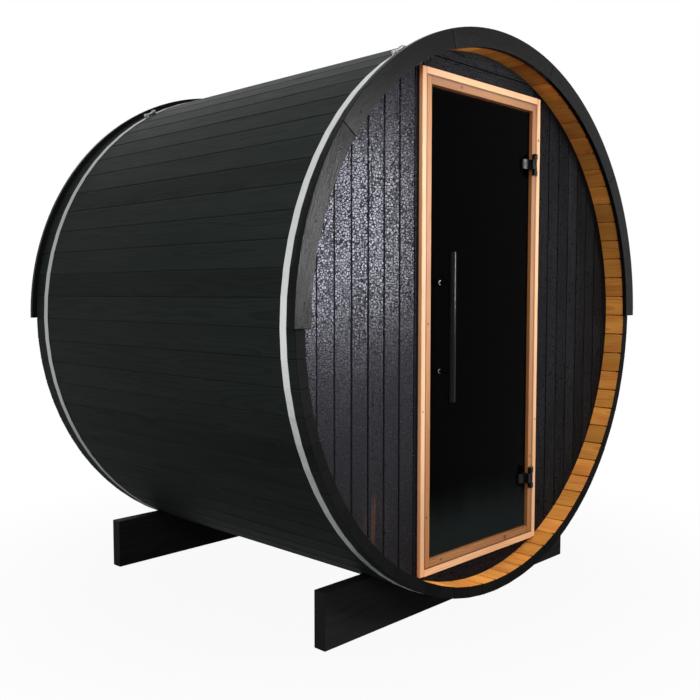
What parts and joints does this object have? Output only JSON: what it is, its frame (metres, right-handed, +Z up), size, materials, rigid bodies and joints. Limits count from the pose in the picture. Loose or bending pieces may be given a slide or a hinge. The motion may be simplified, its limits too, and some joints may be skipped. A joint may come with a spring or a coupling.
{
  "type": "outdoor barrel sauna",
  "caption": "Dark outdoor barrel sauna lying on two cradles, with steel bands, arched end boards, a charred end wall and a hinged glass door in a light wood frame.",
  "frame": {"origin": "on the ground under the middle of the barrel", "axes": "+Z up, -Y towards the front with the door, +X to the right as seen from the front"},
  "size_m": [2.24, 1.75, 2.2848],
  "materials": {
    "dark_stave": "satin",
    "dark_board": "satin",
    "charred_wood": "satin",
    "cradle_wood": "satin",
    "deck_wood": "matte",
    "jamb_wood": "satin",
    "trim_wood": "satin",
    "band_steel": "satin",
    "black_metal": "satin",
    "dark_glass": "gloss"
  },
  "bodies": {
    "sauna": {"staves_01": "dark_stave", "staves_02": "dark_stave", "staves_03": "dark_stave", "staves_04": "dark_stave", "staves_05": "dark_stave", "staves_06": "dark_stave", "staves_07": "dark_stave", "staves_08": "dark_stave", "staves_09": "dark_stave", "staves_10": "dark_stave", "staves_11": "dark_stave", "staves_12": "dark_stave", "front_band": "band_steel", "rear_band": "band_steel", "front_arch": "dark_board", "rear_arch": "dark_board", "front_cradle": "cradle_wood", "rear_cradle": "cradle_wood", "front_wall_left": "charred_wood", "front_wall_right": "charred_wood", "front_wall_header": "charred_wood", "front_wall_sill": "charred_wood", "rear_wall": "charred_wood", "floor_deck": "deck_wood", "jamb_left": "jamb_wood", "jamb_right": "jamb_wood", "frame_head": "jamb_wood", "frame_sill": "jamb_wood", "trim_left": "trim_wood", "trim_right": "trim_wood", "trim_head": "trim_wood", "trim_sill": "trim_wood", "upper_hinge_plate": "black_metal", "lower_hinge_plate": "black_metal"},
    "door": {"door_glass": "dark_glass", "upper_glass_clamp": "black_metal", "lower_glass_clamp": "black_metal", "door_handle": "black_metal"}
  },
  "joints": [
    {"name": "door_hinge", "type": "hinge", "parent": "sauna", "child": "door", "pos_m": [0.3395, -0.796, 1.15], "axis": [0, 0, 1], "range_deg": [0, 100]}
  ]
}
